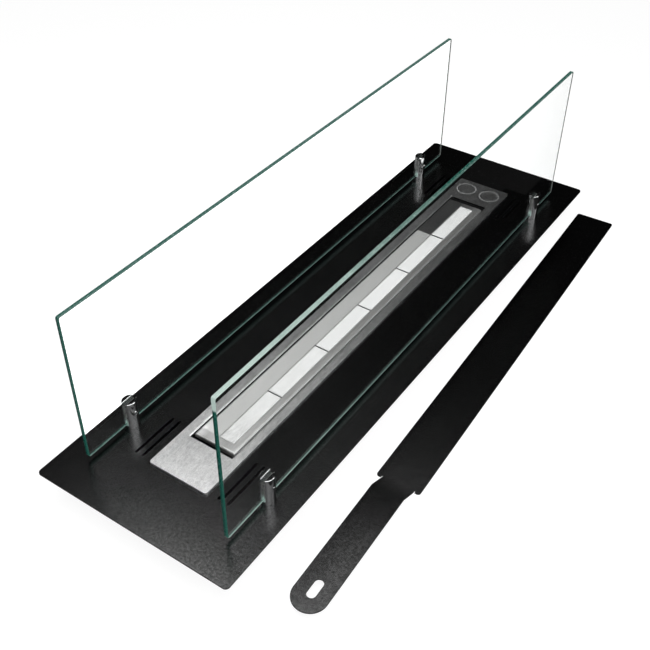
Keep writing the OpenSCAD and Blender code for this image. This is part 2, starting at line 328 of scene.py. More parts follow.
def paintRecessShade(tree, shader, look):  # painted shade: darkens the steel where shade falls, inside a mouth below its rim, or past a tank's ends
    x, y, z = axes(tree)
    fade = recessShadeLook["fade"]
    farOff = maths(tree, "ABSOLUTE", y)
    if "ends" in look:
        black = mapRange(tree, farOff, look["ends"] - fade, look["ends"])
    else:
        halfWide, halfLong = look["mouth"]
        black = times(
            tree, falling(tree, maths(tree, "ABSOLUTE", x), halfWide, halfWide + fade),
            falling(tree, farOff, halfLong, halfLong + fade),
            falling(tree, z, look["rim"] - recessShadeLook["rimFade"], look["rim"]),
        )
    feed(
        tree, shader, Base_Color=mixColour(tree, black, fedBy(shader, "Base Color"), recessShadeLook["colour"]),
        Roughness=plus(tree, fedBy(shader, "Roughness"), times(tree, black, recessShadeLook["rough"])),
    )


steelLooks = {
    "deckSteel": {
        "across": 1500.0, "along": 620.0, "cloudScale": 16.0, "rough": (0.36, 0.4), "streakRough": 0.05,
        "dark": (0.6, 0.6, 0.6), "light": (0.95, 0.95, 0.945), "depth": 0.00001,
        "mouth": (0.0322, 0.3486), "rim": 0.0526,
    },
    "tankSteel": {
        "across": 900.0, "along": 300.0, "cloudScale": 22.0, "rough": (0.35, 0.48), "streakRough": 0.04,
        "dark": (0.3, 0.3, 0.305), "light": (0.42, 0.42, 0.425), "depth": 0.000008,
    },
    "zincPlating": {
        "across": 700.0, "along": 700.0, "cloudScale": 260.0, "rough": (0.25, 0.4), "streakRough": 0.05,
        "dark": (0.5, 0.51, 0.54), "light": (0.7, 0.71, 0.72), "depth": 0.00001,
    },
    "polishedChrome": {
        "across": 1500.0, "along": 900.0, "cloudScale": 120.0, "rough": (0.05, 0.08), "streakRough": 0.008,
        "dark": (0.8, 0.81, 0.82), "light": (0.86, 0.87, 0.88), "depth": 0.000001,
    },
}
endInset = 0.0004
# mouth, rim and ends say where the painted shade goes on each tank
steelLooks["outerTankSteel"] = {**steelLooks["tankSteel"], "mouth": (0.0324, 0.3486), "rim": 0.06}
steelLooks["innerTankSteel"] = {**steelLooks["tankSteel"], "ends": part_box("fuel_tank")[1].y - endInset}


def makeSteel(name, look):  # rolled or brushed stainless steel
    material, tree, shader = newMaterial(name, Metallic=1.0)
    lines = useGroup(tree, brushing, Across=look["across"], Along=look["along"])
    cloud = useGroup(tree, clouding, Scale=look["cloudScale"])["Mask"]
    streaky = mapRange(tree, lines["Streak"], 0.0, 1.0, -look["streakRough"], look["streakRough"])
    feed(
        tree, shader, Base_Color=mixColour(tree, lines["Streak"], look["dark"], look["light"]),
        Roughness=plus(tree, mapRange(tree, cloud, 0.0, 1.0, *look["rough"]), streaky),
    )
    bump(tree, shader, lines["Height"], look["depth"])
    # painted shade inside a mouth below its rim, or past a tank's ends
    if "mouth" in look or "ends" in look:
        paintRecessShade(tree, shader, look)
    return material, tree, shader, lines


plateCoat, housingPaint, lidCoat = (makeCoat(name, look) for name, look in coatLooks.items())
tankSteel, zinc, chrome, outerTankSteel, innerTankSteel = (
    makeSteel(name, steelLooks[name])[0]
    for name in ("tankSteel", "zincPlating", "polishedChrome", "outerTankSteel", "innerTankSteel")
)


deckRings = {
    "centres": ((-0.022, 0.383), (0.022, 0.383)), "radius": 0.0165, "line": (0.00066, 0.00132), "rough": 0.25,
}


def makeDeckSteel():  # brushed, with two plain etched rings at the far end
    material, tree, shader, _ = makeSteel("deckSteel", steelLooks["deckSteel"])
    x, y, _ = axes(tree)
    rings = []
    for centre in deckRings["centres"]:
        off = maths(tree, "ABSOLUTE", minus(tree, distance(tree, x, y, centre), deckRings["radius"]))
        rings.append(falling(tree, off, *deckRings["line"], smooth=True))
    etched = times(tree, maths(tree, "MAXIMUM", *rings), deckRings["rough"])
    feed(tree, shader, Roughness=plus(tree, fedBy(shader, "Roughness"), etched))
    return material


coverLook = {
    "across": 2600.0, "along": 40.0, "cloudScale": 20.0, "rough": (0.38, 0.43), "streakRough": 0.03,
    "dark": (0.58, 0.58, 0.575), "light": (0.72, 0.72, 0.71), "depth": 0.000006,
    "soft": 0.0005, "gauzeX": (-0.0292, -0.0046), "gauzeY": (-0.3268, 0.2226), "gauzeZ": (0.0525, 0.0529),
    "pitch": 0.0017, "wire": 0.5, "gauzeColour": (0.62, 0.62, 0.61), "holeColour": (0.46, 0.46, 0.455),
    "mottle": {"Fine": 900.0, "Broad": 260.0, "BroadShare": 0.5}, "mottleShare": 0.25,
    "mottleColour": (0.6, 0.6, 0.59), "farPaintedShade": (0.36, 0.36, 0.36), "gauzeMetal": (0.65, 0.2),
    "gauzeDepth": 0.00003, "paintedHighlightAt": (-0.0295, -0.338), "paintedHighlightSqueeze": 0.4, "paintedHighlightReach": (0.004, 0.015),
    "shadowGapFrom": 0.3372, "shadowGapColour": (0.012, 0.012, 0.012), "ragged": 0.001, "raggedScale": 700.0,
    "satinFrom": 0.0176, "satin": 0.15,
}


def makeCoverSteel(look):  # brushed sheet, with a fine satin gauze beside the first five bays; painted highlight at its near left corner, painted shade left of the slot past the gauze, and a painted shadow band at its far end
    material, tree, shader, lines = makeSteel("coverSteel", look)
    x, y, z = axes(tree)
    soft, (left, right), (near, far) = look["soft"], look["gauzeX"], look["gauzeY"]
    mask = times(tree, past(tree, x, left, soft), before(tree, x, right, soft), past(tree, y, near, soft))
    mask = times(tree, mask, before(tree, y, far, soft), mapRange(tree, z, *look["gauzeZ"]))
    net = useGroup(tree, weave, Pitch=look["pitch"], Wire=look["wire"])
    mottle = times(tree, useGroup(tree, coatGrain, **look["mottle"])["Shade"], look["mottleShare"])
    gauze = mixColour(tree, net["Hole"], look["gauzeColour"], look["holeColour"])
    gauze = mixColour(tree, mottle, gauze, look["mottleColour"])
    # painted shade: the plain steel left of the slot past the gauze is darkened for the dim far end
    farLeftShadeMask = times(tree, past(tree, y, far, soft), before(tree, x, right, soft))
    colour = mixColour(tree, farLeftShadeMask, fedBy(shader, "Base Color"), look["farPaintedShade"])
    colour = mixColour(tree, mask, colour, gauze)
    # painted highlight: the near left corner whitened as if it caught a lamp
    away = distance(tree, x, y, look["paintedHighlightAt"], look["paintedHighlightSqueeze"])
    colour = mixColour(tree, falling(tree, away, *look["paintedHighlightReach"], smooth=True), colour, (1, 1, 1))
    # painted shadow: a ragged black band at the cover's far end, standing for the shaded gap between wool and
    # slot end
    wander = noiseValue(tree, objectPoint(tree), look["raggedScale"])
    ragged = plus(tree, y, mapRange(tree, wander, 0.3, 0.7, -look["ragged"], look["ragged"]))
    colour = mixColour(tree, past(tree, ragged, look["shadowGapFrom"], soft), colour, look["shadowGapColour"])
    satin = times(tree, past(tree, x, look["satinFrom"], soft), look["satin"])
    wireMetal, holeMetal = look["gauzeMetal"]
    dull = times(tree, mask, plus(tree, times(tree, net["Hole"], holeMetal), wireMetal))
    feed(tree, shader, Base_Color=colour, Metallic=minus(tree, minus(tree, 1.0, satin), dull))
    bump(tree, shader, mixValue(tree, mask, lines["Height"], net["Height"]), look["gauzeDepth"])
    return material


woolLook = {
    "shader": {"Roughness": 0.9, "Sheen_Weight": 0.15, "Sheen_Roughness": 0.5, "Specular_IOR_Level": 0.1},
    "dark": (0.6, 0.6, 0.595), "light": (0.78, 0.78, 0.775), "depth": 0.00025,
    "cloudScale": 90.0, "cloudShare": 0.35, "cloudColour": (0.88, 0.88, 0.875),
    "swirlScale": (170.0, 70.0, 100.0), "swirlTwist": 1.6, "swirlSpread": (0.4, 0.62),
    "wornY": (-0.33, -0.27), "worn": (0.6, 0.12), "wornColour": (0.36, 0.36, 0.36),
    "farLightY": (-0.33, 0.1), "pale": (0.0, 0.85), "farLightColour": (0.94, 0.94, 0.935),
}


def makeWool(look):  # worn and grey at the near end; painted light makes it paler towards the far end
    material, tree, shader = newMaterial("ceramicWool", **look["shader"])
    tangle = useGroup(tree, fibres)
    cloud = times(tree, useGroup(tree, clouding, Scale=look["cloudScale"])["Mask"], look["cloudShare"])
    y = axes(tree)[1]
    colour = mixColour(tree, tangle["Shade"], look["dark"], look["light"])
    colour = mixColour(tree, cloud, colour, look["cloudColour"])
    swirl = stretchedNoise(tree, look["swirlScale"], 3.0, 0.6, look["swirlTwist"])
    wear = mapRange(tree, y, *look["wornY"], *look["worn"], smooth=True)
    worn = times(tree, mapRange(tree, swirl, *look["swirlSpread"]), wear)
    colour = mixColour(tree, worn, colour, look["wornColour"])
    # painted light: paler towards the far end, making up for the lamps' fall-off
    colour = mixColour(tree, mapRange(tree, y, *look["farLightY"], *look["pale"]), colour, look["farLightColour"])
    feed(tree, shader, Base_Color=colour)
    bump(tree, shader, tangle["Height"], look["depth"])
    return material


def letLampsThrough(tree, shader, clear):
    path = addNode(tree, "ShaderNodeLightPath")
    through = addNode(tree, "ShaderNodeBsdfTransparent", {"Color": opaque(clear)})
    sockets = {0: path.outputs["Is Shadow Ray"], 1: shader.outputs[0], 2: through.outputs[0]}
    feed(tree, tree.nodes["Material Output"], Surface=addNode(tree, "ShaderNodeMixShader", sockets).outputs[0])


paneLook = {
    "shader": {"Transmission_Weight": 1.0, "IOR": 1.5, "Base_Color": (0.99, 1.0, 0.996, 1)},
    "dust": {"Scale": 60.0, "Low": 0.55, "High": 0.8}, "dustRough": 0.006, "clear": (0.92, 0.93, 0.926),
}


def makePaneFace(look):  # clear float glass with a trace of dust
    material, tree, shader = newMaterial("paneFace", **look["shader"])
    dust = useGroup(tree, clouding, **look["dust"])["Mask"]
    feed(tree, shader, Roughness=times(tree, dust, look["dustRough"]))
    letLampsThrough(tree, shader, look["clear"])
    return material


padLook = {
    "shader": {"Transmission_Weight": 0.25, "IOR": 1.41}, "hazeScale": 420.0, "rough": (0.25, 0.4),
    "dark": (0.16, 0.16, 0.16), "light": (0.34, 0.34, 0.335), "clear": (0.8, 0.85, 0.83),
    "footZ": (0.059, 0.071), "footPaintedLight": (0.8, 0.98, 0.93),
    "topZ": (0.09, 0.0905), "topPaintedShade": (0.03, 0.035, 0.033),
}


def makePad(look):  # clear silicone, slightly cloudy; painted light pales its foot and painted shade darkens its top
    material, tree, shader = newMaterial("clearPad", **look["shader"])
    haze = useGroup(tree, clouding, Scale=look["hazeScale"])["Mask"]
    z = axes(tree)[2]
    colour = mixColour(tree, haze, look["dark"], look["light"])
    # painted light: the foot made pale mint
    colour = mixColour(tree, falling(tree, z, *look["footZ"], smooth=True), colour, look["footPaintedLight"])
    # painted shade: the top face darkened
    colour = mixColour(tree, mapRange(tree, z, *look["topZ"]), colour, look["topPaintedShade"])
    feed(tree, shader, Base_Color=colour, Roughness=mapRange(tree, haze, 0.0, 1.0, *look["rough"]))
    letLampsThrough(tree, shader, look["clear"])
    return material


# edge tones of the glass: partly its own teal, partly painted light, shown both as colour and as glow
glassTones = {
    "deep": (0.002, 0.04, 0.03), "teal": (0.01, 0.08, 0.06), "soft": (0.06, 0.13, 0.11),
    "silver": (0.16, 0.21, 0.2), "pale": (0.4, 0.5, 0.46), "grey": (0.1, 0.11, 0.105),
}
# glow is the strength of the edges' painted glow; glint, glintShare and glintColour make painted glints
edgeShared = {
    "ior": 1.5, "glow": 0.85, "alongY": (-0.45, 0.1), "laneX": (-0.0006, 0.0012), "lineX": (-0.003, 0.0028),
    "topZ": (0.2825, 0.2832), "bottomZ": (0.0598, 0.0605), "farY": (0.448, 0.449), "capFade": 0.003,
    "driftScale": (0.0, 26.0, 40.0), "drift": 0.6, "speckleScale": (900.0, 180.0, 180.0),
    "speckleSpread": (0.55, 0.8), "glint": 0.35, "glintShare": (0.25, 0.75), "glintColour": (0.75, 0.9, 0.85),
    "bodyDark": 0.75, "rough": (0.2, 0.34), "grindScale": (1600.0, 60.0, 60.0), "grindDepth": 0.000006,
}
# tones of each face: inner lane near and far, outer lane near and far
edgeLooks = {
    "left": {
        "middle": -0.11, "top": ("teal", "soft", "soft", "soft"),
        "upright": ("deep", "deep", "teal", "teal"), "bottom": ("teal", "deep", "silver", "silver"),
    },
    "right": {
        "middle": 0.11, "top": ("pale", "teal", "pale", "soft"), "paintedLightCap": 0.264,
        "upright": ("deep", "deep", "teal", "teal"), "bottom": ("soft", "deep", "pale", "silver"),
    },
}


def makePaneEdge(name, look, shared):  # polished glass edge: two lanes of tone that fade along it; the tones are painted light that glows by emission, with painted glints
    material, tree, shader = newMaterial(name, IOR=shared["ior"], Emission_Strength=shared["glow"])
    x, y, z = axes(tree)
    drift = stretchedNoise(tree, shared["driftScale"], 3.0, 0.6)
    wander = times(tree, minus(tree, drift, 0.5), shared["drift"])
    along = mapRange(tree, plus(tree, mapRange(tree, y, *shared["alongY"]), wander), 0.0, 1.0, smooth=True)
    lane, line = (
        mapRange(tree, x, *(look["middle"] + side for side in shared[key]), smooth=key == "laneX")
        for key in ("laneX", "lineX")
    )
    colours = {}
    for part, across in (("top", lane), ("upright", lane), ("bottom", line)):
        tones = [glassTones[tone] for tone in look[part]]
        inner, outer = mixColour(tree, along, *tones[:2]), mixColour(tree, along, *tones[2:])
        colours[part] = mixColour(tree, across, inner, outer)
    onTop = mapRange(tree, z, *shared["topZ"])
    colour = colours["upright"]
    # painted light: the upright paler above this height
    if "paintedLightCap" in look:
        paintedLightCap = mapRange(tree, z, look["paintedLightCap"], look["paintedLightCap"] + shared["capFade"])
        colour = mixColour(tree, paintedLightCap, colour, glassTones["pale"])
    colour = mixColour(tree, onTop, colour, colours["top"])
    colour = mixColour(tree, falling(tree, z, *shared["bottomZ"]), colour, colours["bottom"])
    colour = mixColour(tree, mapRange(tree, y, *shared["farY"]), colour, glassTones["grey"])
    # painted glints: pale specks mixed into the colour, more of them on the top edge
    speckle = stretchedNoise(tree, shared["speckleScale"], 2.0, 0.6)
    everywhere, more = shared["glintShare"]
    glint = times(tree, mapRange(tree, speckle, *shared["speckleSpread"]), shared["glint"])
    glint = times(tree, glint, plus(tree, times(tree, onTop, more), everywhere))
    colour = mixColour(tree, glint, colour, shared["glintColour"])
    feed(
        tree, shader, Emission_Color=colour, Base_Color=mixColour(tree, shared["bodyDark"], colour, (0, 0, 0)),
        Roughness=mapRange(tree, speckle, 0.0, 1.0, *shared["rough"]),
    )
    bump(tree, shader, stretchedNoise(tree, shared["grindScale"]), shared["grindDepth"])
    material.cycles.emission_sampling = "NONE"
    return material


deckSteel = makeDeckSteel()
coverSteel = makeCoverSteel(coverLook)
ceramicWool = makeWool(woolLook)
paneFace = makePaneFace(paneLook)
clearPad = makePad(padLook)
paneEdges = {side: makePaneEdge("paneEdge_" + side, look, edgeShared) for side, look in edgeLooks.items()}
print("materials made")


# mesh helpers
def toPiece(bm, name, *materials):  # a new object; the bmesh is freed
    mesh = bpy.data.meshes.new(name)
    bm.to_mesh(mesh)
    bm.free()
    piece = bpy.data.objects.new(name, mesh)
    bpy.context.scene.collection.objects.link(piece)
    for material in materials:
        mesh.materials.append(material)
    return piece


def joinRings(bm, first, second):  # a band of quads between two closed rings
    count = len(first)
    pairs = [(i, (i + 1) % count) for i in range(count)]
    return [bm.faces.new((first[i], first[k], second[k], second[i])) for i, k in pairs]


def faceOutward(bm):
    bmesh.ops.recalc_face_normals(bm, faces=bm.faces)


def applied(piece):  # modifiers turned into plain mesh
    graph = bpy.context.evaluated_depsgraph_get()
    whole = piece.evaluated_get(graph)
    mesh = bpy.data.meshes.new_from_object(whole, preserve_all_data_layers=True, depsgraph=graph)
    piece.modifiers.clear()
    piece.data = mesh
    return piece


def smooth(mesh, angle):  # in degrees
    mesh.polygons.foreach_set("use_smooth", [True] * len(mesh.polygons))
    mesh.set_sharp_from_angle(angle=math.radians(angle))


def place(piece, body, slot, *replaced):
    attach(piece, body)
    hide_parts(*replaced)


dressing = {"merge": 2e-6, "flat": 0.4, "sharp": 35, "smooth": 40}
# node: its piece, material, body, slot, width and segments of the softened edges
sheets = {
    "top_plate": ("plate", plateCoat, "base", "plate_black", 0.0004, 3),
    "housing": ("housing_box", housingPaint, "base", "housing_black", 0.0003, 2),
    "burner_deck": ("deck", deckSteel, "burner", "deck_steel", 0.00035, 3),
    "slot_cover": ("cover", coverSteel, "tank_unit", "cover_steel", 0.0003, 2),
    "snuffer_lid": ("lid_sheet", lidCoat, "lid", "lid_black", 0.0004, 3),
    "overflow_tank": ("overflow_tank_sheet", outerTankSteel, "burner", "tank_steel", 0.00025, 2),
    "tank_rests": ("tank_rests_sheet", tankSteel, "burner", "tank_steel", 0.00025, 2),
    "fuel_tank": ("fuel_tank_sheet", innerTankSteel, "tank_unit", "tank_steel", 0.00025, 2),
    "glass_pads": ("pane_pads", clearPad, "base", "clear_pad", 0.0003, 2),
}


def dress(node, name, material, body, slot, width, segments):  # the node's own shape, its edges softened
    bm = bmesh.new()
    bm.from_mesh(nodes[node].data)
    bmesh.ops.remove_doubles(bm, verts=bm.verts, dist=dressing["merge"])
    flat = math.radians(dressing["flat"])
    bmesh.ops.dissolve_limit(bm, angle_limit=flat, verts=bm.verts, edges=bm.edges)
    piece = toPiece(bm, name, material)
    soften = piece.modifiers.new("soften", "BEVEL")
    soften.width = width
    soften.segments = segments
    soften.limit_method = "ANGLE"
    soften.angle_limit = math.radians(dressing["sharp"])
    soften.miter_outer = "MITER_ARC"
    applied(piece)
    smooth(piece.data, dressing["smooth"])
    even = piece.modifiers.new("even", "WEIGHTED_NORMAL")
    even.keep_sharp = True
    applied(piece)
    place(piece, body, slot, node)


for node, values in sheets.items():
    dress(node, *values)
print("sheet pieces dressed")


postSizes = {
    "slot": 0.01, "floor": 0.007, "chamfer": 0.00045, "foot": 0.0004, "segments": 96,
    "holeStart": 0.4, "holeRadius": 0.0026, "holeRim": 0.0034, "rimDepth": 0.0009, "past": 0.0002,
    "screwHeight": 0.027, "holeSegments": 24, "smooth": 30,
}


def makePost(corner):  # round post, slotted for the pane, with flat chamfers round its top and slot
    node = "clamp_post_" + corner
    low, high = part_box(node)
    middle = (low + high) / 2
    radius = (high.x - low.x) / 2
    half, chamfer = postSizes["slot"] / 2, postSizes["chamfer"]
    turn = math.acos(half / radius)
    steps = postSizes["segments"] // 4
    right = [turn * (i / steps - 1) for i in range(steps * 2 + 1)]
    near = [turn + (math.pi - 2 * turn) * (i / steps) for i in range(1, steps)]
    angles = right + near + [math.pi + a for a in right] + [math.pi + a for a in near]
    bm = bmesh.new()

    def ring(r, z, turns):
        return [bm.verts.new((middle.x + r * math.cos(a), middle.y + r * math.sin(a), z)) for a in turns]

    foot = ring(radius - postSizes["foot"], low.z, angles)
    side = ring(radius, low.z + postSizes["foot"], angles)
    floor = ring(radius, low.z + postSizes["floor"], angles)
    joinRings(bm, foot, side)
    joinRings(bm, side, floor)
    bm.faces.new(reversed(foot))
    count = len(right)
    offset = count + len(near)
    arcs = (floor[:count], floor[offset:offset + count])
    nearGap = [arcs[0][-1]] + floor[count:offset] + [arcs[1][0]]
    farGap = [arcs[1][-1]] + floor[offset + count:] + [arcs[0][0]]
    bm.faces.new(nearGap + farGap)
    inner = radius - chamfer
    innerTurn = math.acos((half + chamfer) / inner)
    for arc, facing in zip(arcs, (0.0, math.pi)):
        wall = [bm.verts.new((v.co.x, v.co.y, high.z - chamfer)) for v in arc]
        top = ring(inner, high.z, [a / turn * innerTurn + facing for a in right])
        joinRings(bm, arc, wall)
        joinRings(bm, wall, top)
        bm.faces.new(top)
    faceOutward(bm)
    piece = toPiece(bm, "post_" + corner, chrome)
    hole = makeHoleCutter(middle, radius, low.z + postSizes["screwHeight"])
    cut = piece.modifiers.new("hole", "BOOLEAN")
    cut.operation = "DIFFERENCE"
    cut.object = hole
    applied(piece)
    bpy.data.objects.remove(hole)
    smooth(piece.data, postSizes["smooth"])
    place(piece, "base", "post_chrome", node)


def makeHoleCutter(middle, radius, z):  # the set screw's hole, with a countersunk rim
    bm = bmesh.new()
    count, bore = postSizes["holeSegments"], postSizes["holeRadius"]
    turns = [math.radians(360 / count * i) for i in range(count)]
    stations = (
        (radius * postSizes["holeStart"], bore), (radius - postSizes["rimDepth"], bore),
        (radius + postSizes["past"], postSizes["holeRim"]),
    )
    rings = []
    for x, r in stations:
        places = [(middle.x + x, middle.y + r * math.cos(a), z + r * math.sin(a)) for a in turns]
        rings.append([bm.verts.new(place) for place in places])
    for first, second in zip(rings, rings[1:]):
        joinRings(bm, first, second)
    bm.faces.new(rings[0])
    bm.faces.new(reversed(rings[-1]))
    faceOutward(bm)
    return toPiece(bm, "hole")


for corner in ("near_left", "near_right", "far_left", "far_right"):
    makePost(corner)
print("posts made")


# what repeats: one shape, set out in rows by geometry nodes
def makeRowsTree():
    tree = bpy.data.node_groups.new("rowsOfPieces", "GeometryNodeTree")
    face = tree.interface
    kinds = {
        "Geometry": "Geometry", "Count X": "Int", "Count Y": "Int", "Pitch X": "Float", "Pitch Y": "Float",
        "Twist": "Vector", "Seed": "Int", "Material": "Material",
    }
    for name, kind in kinds.items():
        face.new_socket(name, in_out="INPUT", socket_type="NodeSocket" + kind)
    face.new_socket("Geometry", in_out="OUTPUT", socket_type="NodeSocketGeometry")
    given = tree.nodes.new("NodeGroupInput").outputs
    out = tree.nodes.new("NodeGroupOutput").inputs
    lines = []
    for axis in ("X", "Y"):
        pitch, count = given["Pitch " + axis], given["Count " + axis]
        start = times(tree, minus(tree, count, 1.0), -0.5, pitch)
        step = addNode(tree, "ShaderNodeCombineXYZ", {axis: pitch}).outputs[0]
        begin = addNode(tree, "ShaderNodeCombineXYZ", {axis: start}).outputs[0]
        sockets = {"Count": count, "Start Location": begin, "Offset": step}
        lines.append(addNode(tree, "GeometryNodeMeshLine", sockets, mode="OFFSET").outputs[0])
    sockets = {"Points": lines[1], "Instance": lines[0]}
    rows = addNode(tree, "GeometryNodeInstanceOnPoints", sockets).outputs[0]
    points = addNode(tree, "GeometryNodeRealizeInstances", {0: rows}).outputs[0]
    least = scaled(tree, given["Twist"], (-1, -1, -1))
    sockets = {0: least, 1: given["Twist"], "Seed": given["Seed"]}
    chance = addNode(tree, "FunctionNodeRandomValue", sockets, data_type="FLOAT_VECTOR").outputs[0]
    sockets = {"Points": points, "Instance": given["Geometry"], "Rotation": chance}
    pieces = addNode(tree, "GeometryNodeInstanceOnPoints", sockets).outputs[0]
    real = addNode(tree, "GeometryNodeRealizeInstances", {0: pieces}).outputs[0]
    sockets = {"Geometry": real, "Material": given["Material"]}
    tree.links.new(addNode(tree, "GeometryNodeSetMaterial", sockets).outputs[0], out[0])
    return tree


rowsTree = makeRowsTree()
rowSockets = {item.name: item.identifier for item in rowsTree.interface.items_tree if item.in_out == "INPUT"}


def setOut(name, bm, rows, material, body, slot, *replaced):  # one shape repeated, as one mesh
    faceOutward(bm)
    piece = toPiece(bm, name)
    smooth(piece.data, 35)
    modifier = piece.modifiers.new("rows", "NODES")
    modifier.node_group = rowsTree
    for socket, value in {**rows, "Material": material}.items():
        modifier[rowSockets[socket]] = value
    applied(piece)
    place(piece, body, slot, *replaced)
    return piece


# outlines, as a radius for each angle
def circle(radius):
    return lambda angle: radius


def hexagon(flats):
    return lambda angle: flats / 2 / math.cos((angle % math.radians(60)) - math.radians(30))


def chamfered(shape, limit):
    return lambda angle: min(shape(angle), limit)


def thread(core, outer, pitch, z):
    return lambda angle: core + (outer - core) * (1 - abs(2 * ((z / pitch - angle / math.tau) % 1) - 1))


def threaded(low, high, core, outer, pitch=0.0008, steps=6):  # rings of a screw thread
    count = max(2, round((high - low) / pitch * steps))
    heights = [low + (high - low) * i / count for i in range(count + 1)]
    return [(z, thread(core, outer, pitch, z)) for z in heights]


def rounds(*rings):
    return [(z, circle(radius)) for z, radius in rings]


def loft(rings, segments=24, closed=False):
    bm = bmesh.new()
    angles = [math.tau * i / segments for i in range(segments)]
    made = []
    for z, shape in rings:
        made.append([bm.verts.new((shape(a) * math.cos(a), shape(a) * math.sin(a), z)) for a in angles])
    for first, second in zip(made, made[1:] + made[:1] if closed else made[1:]):
        joinRings(bm, first, second)
    if not closed:
        bm.faces.new(made[0])
        bm.faces.new(reversed(made[-1]))
    return bm


fastenerSizes = {
    "core": 0.0021, "outer": 0.0025, "tip": 0.8, "lead": 0.0005, "studShank": 0.001,
    "nutFlats": 0.008, "nutEase": (0.0, 0.00015, 0.0003, 0.0005), "nutEnd": 0.47, "nutSlope": 1.73,
    "nutLead": 0.0003, "washer": 0.006, "washerHole": 0.00275, "washerEase": 0.00012,
    "head": 0.0045, "headHeight": 0.0028, "headEase": 0.0003, "neck": 0.0002,
    "socket": 0.003, "socketDepth": 0.0016, "socketRim": 0.62, "socketLip": 0.00018,
    "cupDepth": 0.0025, "cupEase": 0.0004, "cupTip": 0.7,
}


def rowsOf(node, unitX, unitY, countX, countY, **more):  # the rows that a CAD node's own box gives
    low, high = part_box(node)
    pitchX = (high.x - low.x - unitX) / max(1, countX - 1)
    pitchY = (high.y - low.y - unitY) / max(1, countY - 1)
    rows = {"Count X": countX, "Count Y": countY, "Pitch X": pitchX, "Pitch Y": pitchY}
    return {**rows, "Twist": (0.0, 0.0, 0.0), "Seed": 3, **more}, low.z, high.z


def makeStudsAndNuts(f):
    core, outer, flats, lead = f["core"], f["outer"], f["nutFlats"], f["nutLead"]
    studRows, low, high = rowsOf("housing_studs", 2 * outer, 2 * outer, 2, 4)
    rings = rounds((low, core * f["tip"])) + threaded(low + f["lead"], high - f["studShank"], core, outer)
    rings += rounds((high, outer))
    setOut("weld_studs", loft(rings), studRows, zinc, "base", "zinc", "housing_studs")

    rows, low, high = rowsOf("housing_nuts", flats, flats, 2, 4, Twist=(0.0, 0.0, 3.0), Seed=8)
    rows.update({key: studRows[key] for key in ("Pitch X", "Pitch Y")})
    sides = [(e, chamfered(hexagon(flats), flats * f["nutEnd"] + e * f["nutSlope"])) for e in f["nutEase"]]
    rings = [(low + e, side) for e, side in sides] + [(high - e, side) for e, side in reversed(sides)]
    rings += rounds((high, outer + lead), (high - lead, outer), (low + lead, outer), (low, outer + lead))
    setOut("hexagon_nuts", loft(rings, closed=True), rows, zinc, "base", "zinc", "housing_nuts")


def makeWashers(f):
    rim, hole, ease = f["washer"], f["washerHole"], f["washerEase"]
    rows, low, high = rowsOf("post_washers", 2 * rim, 2 * rim, 2, 2)
    rings = rounds(
        (low, rim - ease), (low + ease, rim), (high - ease, rim), (high, rim - ease),
        (high, hole + ease), (high - ease, hole), (low + ease, hole), (low, hole + ease),
    )
    setOut("plain_washers", loft(rings, 48, closed=True), rows, zinc, "base", "zinc", "post_washers")


def makeScrews(f):
    core, outer, lead, head, ease = f["core"], f["outer"], f["lead"], f["head"], f["headEase"]
    socket, socketRim = hexagon(f["socket"]), f["socket"] * f["socketRim"]
    rows, low, high = rowsOf("post_screws", 2 * head, 2 * head, 2, 2, Twist=(0.0, 0.0, 3.0), Seed=5)
    neck = low + f["headHeight"]
    rings = [(low + f["socketDepth"], socket), (low + f["socketLip"], socket)]
    rings += rounds((low, socketRim), (low, head - ease), (low + ease, head))
    rings += rounds((neck - ease, head), (neck, head - ease), (neck, outer))
    rings += threaded(neck + f["neck"], high - lead, core, outer) + rounds((high, core * f["tip"]))
    setOut("socket_screws", loft(rings), rows, zinc, "base", "zinc", "post_screws")

    rows.update({"Twist": (3.0, 0.0, 0.0), "Seed": 11})
    low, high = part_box("set_screws")
    postLow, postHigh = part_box("clamp_post_near_right")
    start, reach = postSizes["slot"] / 2, high.x - (postLow.x + postHigh.x) / 2
    rings = rounds((start, core * f["cupTip"]), (start + f["cupEase"], core))
    rings += threaded(start + lead, reach - lead, core, outer)
    rings += rounds((reach - f["cupEase"], outer), (reach, outer - f["cupEase"]), (reach, socketRim))
    rings += [(reach - f["socketLip"], socket), (reach - f["cupDepth"], socket)]
    bm = loft(rings)
    bmesh.ops.transform(bm, matrix=Matrix.Rotation(math.radians(90), 4, "Y"), verts=bm.verts)
    piece = setOut("cup_screws", bm, rows, chrome, "base", "post_chrome", "set_screws")
    piece.data.transform(Matrix.Translation((0, 0, (low.z + high.z) / 2)))


makeStudsAndNuts(fastenerSizes)
makeWashers(fastenerSizes)
makeScrews(fastenerSizes)


dividerSizes = {"count": 5, "level": 1e-4, "top": 1e-5}


